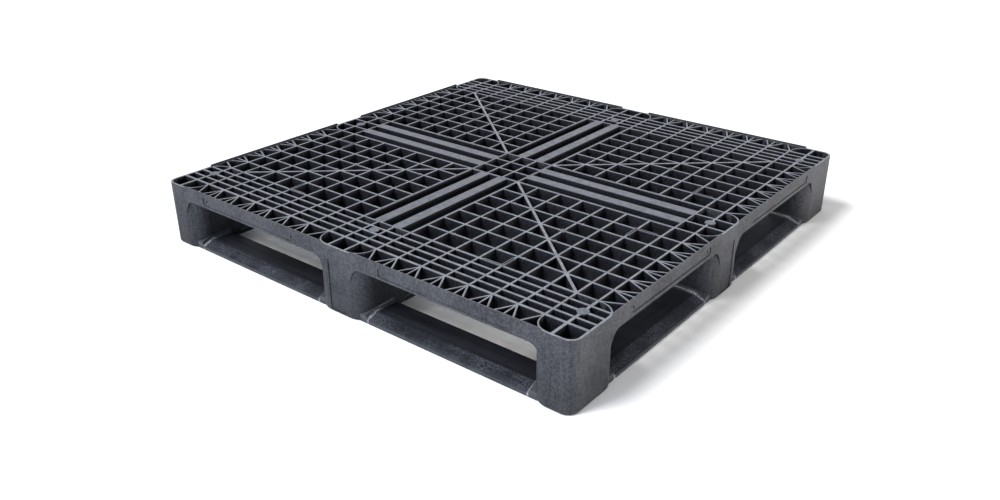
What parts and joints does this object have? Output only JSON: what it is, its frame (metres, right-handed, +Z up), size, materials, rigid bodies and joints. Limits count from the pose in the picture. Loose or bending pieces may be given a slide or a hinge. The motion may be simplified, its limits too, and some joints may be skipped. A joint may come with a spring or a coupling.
{
  "type": "plastic pallet",
  "caption": "Square moulded plastic pallet with an open grid deck, raised edge rims, hollow block feet, four-way fork openings and a perimeter base.",
  "frame": {"origin": "on the floor under the middle of the pallet", "axes": "+Z up, +X and +Y along the two equal sides; the corner blocks are longer along X than along Y"},
  "size_m": [1.14, 1.14, 0.154],
  "materials": {
    "deck_plastic": "satin moulded, tops scuffed lighter",
    "side_plastic": "fine grained moulded",
    "base_plastic": "satin moulded with flow marks"
  },
  "bodies": {
    "root": {"base_runner_front_side_left": "base_plastic", "base_runner_front_side_right": "base_plastic", "base_runner_left_side_front": "base_plastic", "base_runner_left_side_rear": "base_plastic", "base_runner_rear_side_left": "base_plastic", "base_runner_rear_side_right": "base_plastic", "base_runner_right_side_front": "base_plastic", "base_runner_right_side_rear": "base_plastic", "centre_block": "side_plastic", "centre_runner_front": "base_plastic", "centre_runner_left": "base_plastic", "centre_runner_rear": "base_plastic", "centre_runner_right": "base_plastic", "corner_block_front_left": "side_plastic", "corner_block_front_right": "side_plastic", "corner_block_rear_left": "side_plastic", "corner_block_rear_right": "side_plastic", "deck_arm_front": "deck_plastic", "deck_arm_left": "deck_plastic", "deck_arm_rear": "deck_plastic", "deck_arm_right": "deck_plastic", "deck_quarter_front_left": "deck_plastic", "deck_quarter_front_right": "deck_plastic", "deck_quarter_rear_left": "deck_plastic", "deck_quarter_rear_right": "deck_plastic", "edge_grid_front_side_left": "deck_plastic", "edge_grid_front_side_right": "deck_plastic", "edge_grid_left_side_front": "deck_plastic", "edge_grid_left_side_rear": "deck_plastic", "edge_grid_rear_side_left": "deck_plastic", "edge_grid_rear_side_right": "deck_plastic", "edge_grid_right_side_front": "deck_plastic", "edge_grid_right_side_rear": "deck_plastic", "fascia_front_side_left": "side_plastic", "fascia_front_side_right": "side_plastic", "fascia_left_side_front": "side_plastic", "fascia_left_side_rear": "side_plastic", "fascia_rear_side_left": "side_plastic", "fascia_rear_side_right": "side_plastic", "fascia_right_side_front": "side_plastic", "fascia_right_side_rear": "side_plastic", "side_block_front": "side_plastic", "side_block_left": "side_plastic", "side_block_rear": "side_plastic", "side_block_right": "side_plastic"}
  },
  "joints": []
}
